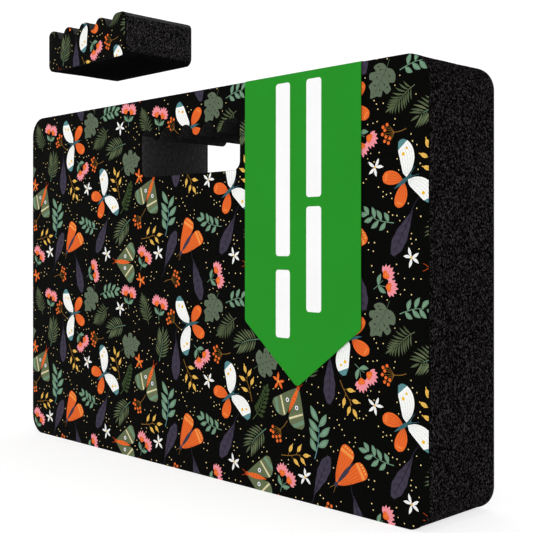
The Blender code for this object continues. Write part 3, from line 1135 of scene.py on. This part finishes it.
def fill(loops_co, loops_ids, big):
    """Triangles between an outer ring and its holes, on the rings' own vertices."""
    verts, ids, edges = [], [], []
    for co, ring in zip(loops_co, loops_ids):
        b = len(verts)
        verts += [Vector(c) for c in co]
        ids += ring
        edges += [(b + i, b + (i + 1) % len(co)) for i in range(len(co))]
    out = delaunay_2d_cdt(verts, edges, [], 0, 1e-6, True)
    co, faces, orig = out[0], out[2], out[3]
    centre = np.array([[sum(co[i][k] for i in f) / 3 for k in (0, 1)] for f in faces])
    keep = inside(np.asarray(loops_co[big], float), centre)
    for k, lp in enumerate(loops_co):
        if k != big:
            keep &= ~inside(np.asarray(lp, float), centre)
    res = []
    for f, ok in zip(faces, keep):
        if not ok:
            continue
        a, b, c = (co[i] for i in f)
        tri = [ids[orig[i][0]] for i in f]
        if (b[0] - a[0]) * (c[1] - a[1]) - (b[1] - a[1]) * (c[0] - a[0]) < 0:
            tri = tri[::-1]
        res.append(tuple(tri))
    return res


# ---------------------------------------------------------------------------
# Foam: closed blocks whose cut sides carry their own fine mesh
# ---------------------------------------------------------------------------


def foam_block(name, outer, holes, mats, shift=(0.0, 0.0), rows=38, waist=0.2, stand=False, wall_slots=None):
    """outer and holes are counter-clockwise loops.  The cut sides draw in a little at
    mid thickness, as a die leaves them, and their rims are soft."""
    soft = 0.8
    verts, faces, slots = [], [], []
    ends = {-1: [], 1: []}
    prof = [(-CORE_Y + soft * (1 - math.cos(a)), soft * (1 - math.sin(a))) for a in np.radians((0, 25, 50, 75))]
    mid = np.linspace(-CORE_Y + soft, CORE_Y - soft, rows)
    prof += [(y, 0.0) for y in mid]
    prof += [(CORE_Y - soft * (1 - math.cos(a)), soft * (1 - math.sin(a))) for a in np.radians((75, 50, 25, 0))]
    all_loops = [(outer, 1)] + [(h, -1) for h in holes]
    for k, (lp, sign) in enumerate(all_loops):
        nrm = outward(lp) * sign
        rings = []
        for y, rim_in in prof:
            b = len(verts)
            draw = waist * (1 - (y / CORE_Y) ** 2)
            for (x, z), (nx, nz) in zip(lp, nrm):
                flat = 1.0
                if stand and nz < -0.6 and z < 3.0:
                    flat = 0.0
                d = -(rim_in + draw * flat)
                d += flat * (
                    0.14 * noise.noise(Vector((x / 16, y / 16, z / 16)))
                    + 0.1 * noise.noise(Vector((x / 5, y / 9, z / 5)))
                    + 0.07 * noise.noise(Vector((x / 1.9, y / 1.9, z / 1.9)))
                    - 0.06
                )
                verts.append((x + nx * d, y, z + nz * d))
            rings.append(list(range(b, b + len(lp))))
        n = len(lp)
        slot = (wall_slots or [0] * len(all_loops))[k]
        for lo, hi in zip(rings, rings[1:]):
            for i in range(n):
                j = (i + 1) % n
                f = (lo[i], lo[j], hi[j], hi[i])
                faces.append(f if sign > 0 else f[::-1])
                slots.append(slot if not callable(slot) else slot(lp[i], nrm[i]))
        ends[-1].append(rings[0])
        ends[1].append(rings[-1])
    for side in (-1, 1):
        co = [[(verts[i][0], verts[i][2]) for i in r] for r in ends[side]]
        got = fill(co, ends[side], 0)
        faces += got if side < 0 else [f[::-1] for f in got]
        slots += [0] * len(got)
    verts = [((x + shift[0]) * MM, y * MM, (z + shift[1]) * MM) for x, y, z in verts]
    return mesh_piece(name, verts, faces, mats, slots, sharp=60.0)


# ---------------------------------------------------------------------------
# The card band: one strip of card, printed flat and folded over the top edge
# ---------------------------------------------------------------------------


def soft_box(x, s0, s1, half, r=2.2, n=4):
    pts = (
        arc(x + half - r, s0 + r, r, -90, 0, n)
        + arc(x + half - r, s1 - r, r, 0, 90, n)
        + arc(x - half + r, s1 - r, r, 90, 180, n)
        + arc(x - half + r, s0 + r, r, 180, 270, n)
    )
    return np.array(tidy(pts))


def band_piece():
    t = 0.22  # half the card's thickness
    front = -(FACE_Y + GAP + t + 0.02)
    back = FACE_Y + 2 * GAP + 0.3 + t + 0.02
    top = PAD_HEIGHT + GAP + t + 0.05
    fold = 1.7
    turn = fold * math.pi / 2
    s_front = top - fold - BAND_TIP
    s_top = s_front + turn
    s_back = s_top + (back - front - 2 * fold)
    s_down = s_back + turn
    s_end = s_down + (top - fold - BAND_BACK_END)

    def place(s, off):
        """A point of the strip, s from the tip, off outwards of its middle."""
        if s <= s_front:
            lift = 0.45 * max(0.0, 1 - s / 60.0) ** 2
            sag = 0.12 * math.sin(s / s_front * math.pi)
            return front - off - lift - sag, BAND_TIP + s
        if s <= s_top:
            a = (s - s_front) / fold
            return front + fold - (fold + off) * math.cos(a), top - fold + (fold + off) * math.sin(a)
        if s <= s_back:
            u = (s - s_top) / (s_back - s_top)
            return front + fold + (s - s_top), top + off + 0.25 * math.sin(math.pi * u)
        if s <= s_down:
            a = (s - s_back) / fold
            return back - fold + (fold + off) * math.sin(a), top - fold + (fold + off) * math.cos(a)
        return back + off, top - fold - (s - s_down)

    half = BAND_WIDTH / 2
    r = BAND_ROUND
    rise = BAND_SHOULDER - BAND_TIP
    right, left = (math.atan2(rise, half - k * BAND_LEAN) for k in (1, -1))
    # the outline: a round tip, two flanks, round shoulders, round back corners
    tip_c = r / math.cos(left) - 0.6
    out = []
    for a in np.linspace(-90 - math.degrees(left), -90 + math.degrees(right), 9):
        out.append((BAND_LEAN + r * math.cos(math.radians(a)), tip_c + r * math.sin(math.radians(a))))
    sh = rise + r * math.tan(math.pi / 4 - right / 2)
    for a in np.linspace(-90 + math.degrees(right), 0, 6):
        out.append((half - r + r * math.cos(math.radians(a)), sh + r * math.sin(math.radians(a))))
    out += arc(half - r, s_end - r, r, 0, 90, 5)
    out += arc(-half + r, s_end - r, r, 90, 180, 5)
    for a in np.linspace(180, 270 - math.degrees(left), 6):
        out.append((-half + r + r * math.cos(math.radians(a)), sh + r * math.sin(math.radians(a))))
    out = resampled(tidy(out), 4.0)
    shapes = []
    for x, h, runs in BARS:
        for z1, z0 in runs:
            shapes.append(("white", soft_box(x - BAND_X, z0 - BAND_TIP, z1 - BAND_TIP, h)))
    rows = [np.linspace(s_front, s_top, 7), np.linspace(s_back, s_down, 7)]
    lines = [[(-half - 3, s), (half + 3, s)] for row in rows for s in row]
    rng = np.arange(6.0, s_end, 6.0)
    spare = [(x, s) for s in rng for x in np.arange(-half + 4, half - 3, 7.0)]
    pts, tri, ink, loops = flat_mesh(out, [], shapes, spare, lines)
    n = len(pts)
    verts = []
    for off in (t, -t):
        for x, s in pts:
            y, z = place(s, off)
            verts.append(((x + BAND_X) * MM, y * MM, z * MM))
    faces = [tuple(f) for f in tri.tolist()] + [tuple(i + n for i in f[::-1]) for f in tri.tolist()]
    slots = [1 if k >= 0 else 0 for k in ink] + [2] * len(tri)
    for lp in loops:
        for i in range(len(lp)):
            a, b = lp[i], lp[(i + 1) % len(lp)]
            faces.append((b, a, a + n, b + n))
            slots.append(2)
    mats = [
        card("card_green", (37, 145, 37), 0.55, 0.04),
        card("card_white_print", (252, 252, 252), 0.55, 0.08),
        card("card_core", (44, 128, 44), 0.8, 0.04),
    ]
    return mesh_piece("card_band", verts, faces, mats, slots, sharp=30.0)


# Plain white bars stand where a label would carry its wording: middle X, half
# width, and (top, bottom) heights.
BARS = (
    (129.7, 6.6, ((279.0, 201.4), (195.2, 125.9))),
    (101.5, 6.6, ((279.0, 162.4), (153.1, 107.3))),
)


def repeated(tile, x0, z0, x1, z1, phase):
    """The repeat's shapes over a region."""
    w, h = REPEAT
    boxes = [(ink, p, p.min(0), p.max(0)) for ink, p in tile]
    out = []
    for i in range(math.floor((x0 - phase[0]) / w) - 1, math.ceil((x1 - phase[0]) / w) + 1):
        for j in range(math.floor((z0 - phase[1]) / h) - 1, math.ceil((z1 - phase[1]) / h) + 1):
            d = np.array((phase[0] + i * w, phase[1] + j * h))
            for ink, p, lo, hi in boxes:
                if (hi + d > (x0, z0)).all() and (lo + d < (x1, z1)).all():
                    out.append((ink, p + d))
    return out


LAYOUT = packed_layout(LAYOUT_SEED, 900)[0]
TILE = placed(LAYOUT)
TILE += scattered_dots(TILE, 7, 185)[0]
PHASE = (-115.0, 129.0)

grid = [
    (x, z)
    for x in np.arange(-214.0, 215.0, 9.0)
    for z in np.arange(6.0, 280.0, 9.0)
]
slot_keep = np.asarray(slot_outline(-3.0), float)
gpts = np.array(grid)
pad_in = inside(np.asarray(pad_outline(3.0), float), gpts) & ~inside(slot_keep, gpts)
grid = [tuple(p) for p in gpts[pad_in]]

art = repeated(TILE, -222, -2, 222, 286, PHASE)

front = skin(
    "printed_front",
    lambda i: pad_outline(LIP - 0.45 + i, 18, 6.0),
    [lambda i: slot_outline(-LIP + i, 1.0, 4.0)],
    art,
    ink_material,
    -1,
    spare=grid,
)
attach(front, "pad")
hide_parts("front_cover")

black_skin = plain_skin()
back = skin(
    "plain_back",
    lambda i: pad_outline(LIP - 0.45 + i, 18, 6.0),
    [lambda i: slot_outline(-LIP + i, 1.0, 4.0)],
    [],
    lambda k: black_skin,
    1,
    spare=grid,
)
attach(back, "pad")
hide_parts("back_cover")

foam_side = foam("foam_cut_side", (2, 2, 2), (11, 10, 10), (32, 29, 30), (58, 54, 56), 820.0, 0.6)
# The plug's sides take a lighter copy of the cut foam: painted light.
foam_plug = foam("foam_cut_plug_painted_light", (6, 6, 6), (20, 19, 19), (42, 40, 41), (66, 62, 64), 820.0, 0.6)
# The slot's walls and the plug's upward faces take a much lighter copy of the cut foam: painted light. Its streaks
# along the thickness are the cut's own texture.
foam_slot_painted_light = foam("foam_cut_slot_painted_light", (48, 48, 48), (55, 55, 55), (61, 61, 61), (69, 69, 69), 1000.0, 0.12, True)
# The plug's downward faces take a darker copy of the cut foam: painted shade under the plug.
foam_under_painted_shade = foam("foam_cut_underside_painted_shade", (6, 6, 6), (12, 12, 12), (18, 18, 18), (28, 28, 28), 820.0, 0.3)
# The slot's down-facing ceiling takes a copy of the cut foam that is lighter than the outer sides and darker than the
# slot walls: painted light in the slot and painted shade under its ceiling.
foam_ceiling_painted_light_and_shade = foam("foam_cut_ceiling_painted_light_and_shade", (28, 28, 28), (35, 35, 35), (42, 42, 42), (52, 52, 52), 820.0, 0.2)

core = foam_block(
    "foam_body",
    pad_outline(-0.45, 20, 1.7),
    [slot_outline(0.0, 1.6, 1.7)],
    [foam_side, foam_slot_painted_light, foam_ceiling_painted_light_and_shade],
    # Slot faces that look down get the ceiling copy (painted shade); the other slot walls get the lighter slot copy
    # (painted light).
    wall_slots=[0, lambda p, nrm: 2 if nrm[1] < -0.35 else 1],
    stand=True,
)
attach(core, "pad")
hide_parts("foam_core")

# The block cut from the hand slot: its print is the piece of the pattern that the
# slot took out.
plug_shift = (PLUG_SHIFT_X, PLUG_SHIFT_Z)
slot_lo = (-60, 220)
slot_hi = (60, 262)
plug_art = repeated(TILE, *slot_lo, *slot_hi, PHASE)
plug_at = lambda i: slot_outline(PLUG_CLEAR + LIP + i, 1.0, 4.0)  # noqa: E731
plug_front = skin("printed_plug_face", plug_at, [], plug_art, ink_material, -1, plug_shift, dip=0.3)
plug_back = skin("plain_plug_back", plug_at, [], [], lambda k: black_skin, 1, plug_shift, dip=0.3)
plug_core = foam_block(
    "foam_plug",
    slot_outline(PLUG_CLEAR, 1.6, 1.5),
    [],
    [foam_plug, foam_slot_painted_light, foam_under_painted_shade],
    plug_shift,
    # Downward faces get the darker copy (painted shade), upward faces near the top the lighter slot copy (painted
    # light), and the rest the lighter plug copy (painted light).
    wall_slots=[lambda p, nrm: 2 if nrm[1] < -0.5 else 1 if p[1] > 240 and nrm[1] > 0.2 else 0],
    waist=0.15,
)
for piece, node, mat_slot in (
    (plug_front, "plug_front_cover", "printed_cover"),
    (plug_back, "plug_back_cover", "back_cover"),
    (plug_core, "plug_core", "foam"),
):
    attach(piece, "plug")
    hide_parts(node)

band = band_piece()
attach(band, "pad")
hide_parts("label_band")

tape = Nodes("clear_tape")
tape.set(Specular_IOR_Level=0.5)
tape.bsdf.inputs["Base Color"].default_value = linear((216, 212, 196))
tape.roughness(tape.spread(tape.noise(160.0, 3.0), 0.3, 0.7, 0.22, 0.4))
tape.normal(tape.bump(tape.noise(90.0, 2.0), 0.3, 0.0003))
strip = bpy.data.objects[frame["nodes"]["band_tape"]] if isinstance(frame["nodes"]["band_tape"], str) else frame["nodes"]["band_tape"]
for s in strip.material_slots:
    s.material = tape.mat


EMIT, WORLD, KEY, SIDE, TOP = 0.72, 0.1, 4, 5, 32
# ---------------------------------------------------------------------------
# Studio: a pale floor that sweeps up into a backdrop, soft lights, the camera
# ---------------------------------------------------------------------------


def sweep():
    """A round floor with a rim that curves up into a wall all round."""
    prof = [(0.0, 0.0), (1.2, 0.0), (2.4, 0.0), (3.2, 0.0)]
    prof += [(3.2 + 1.6 * math.sin(a), 1.6 - 1.6 * math.cos(a)) for a in np.radians((15, 30, 45, 60, 75, 90))]
    prof += [(4.8, 3.0), (4.8, 5.0)]
    n = 72
    verts = [(0.0, 0.0, 0.0)]
    for r, z in prof[1:]:
        verts += [(r * math.cos(2 * math.pi * k / n), r * math.sin(2 * math.pi * k / n), z) for k in range(n)]
    faces = [(0, 1 + k, 1 + (k + 1) % n) for k in range(n)]
    for i in range(len(prof) - 2):
        a, b = 1 + i * n, 1 + (i + 1) * n
        faces += [(a + k, b + k, b + (k + 1) % n, a + (k + 1) % n) for k in range(n)]
    m = Nodes("studio_white")
    m.set(Roughness=1.0, Specular_IOR_Level=0.0)
    m.bsdf.inputs["Base Color"].default_value = (0.42, 0.42, 0.42, 1.0)
    m.set(Emission_Strength=EMIT)
    m.bsdf.inputs["Emission Color"].default_value = (1, 1, 1, 1)
    ob = mesh_piece("studio_sweep", verts, faces, [m.mat], None)
    return ob


def soft_light(name, at_, target, size, power):
    data = bpy.data.lights.new(name, "AREA")
    data.shape = "RECTANGLE"
    data.size, data.size_y = size
    data.energy = power
    ob = bpy.data.objects.new(name, data)
    bpy.context.scene.collection.objects.link(ob)
    ob.location = at_
    ob.rotation_mode = "QUATERNION"
    ob.rotation_quaternion = (Vector(target) - Vector(at_)).to_track_quat("-Z", "Y")
    return ob


sweep()
world = bpy.data.worlds.new("studio")
bpy.context.scene.world = world
world.use_nodes = True
world.node_tree.nodes["Background"].inputs["Color"].default_value = (1, 1, 1, 1)
world.node_tree.nodes["Background"].inputs["Strength"].default_value = WORLD

soft_light("key", (-1.3, -2.6, 2.2), (0.0, 0.0, 0.15), (1.6, 1.6), KEY)
soft_light("side", (2.6, 0.6, 1.6), (0.1, 0.0, 0.15), (1.4, 1.4), SIDE)
soft_light("top", (0.0, 0.0, 3.4), (0.0, 0.0, 0.0), (2.4, 2.4), TOP)

cam_data = bpy.data.cameras.new("camera")
cam_data.lens = 64.268
cam_data.sensor_width = 36.0
cam_data.shift_x = -0.00094
cam_data.shift_y = -0.04035
cam_data.clip_start, cam_data.clip_end = 0.02, 60.0
cam = bpy.data.objects.new("camera", cam_data)
bpy.context.scene.collection.objects.link(cam)
cam.location = (0.55097, -0.49486, 0.16988)
cam.rotation_mode = "QUATERNION"
cam.rotation_quaternion = Vector((-0.71189, 0.70229, 0.0)).to_track_quat("-Z", "Y")
bpy.context.scene.camera = cam

view = bpy.context.scene.view_settings
view.view_transform = "Standard"
view.look = "None"
view.exposure = 0.0
view.gamma = 1.0
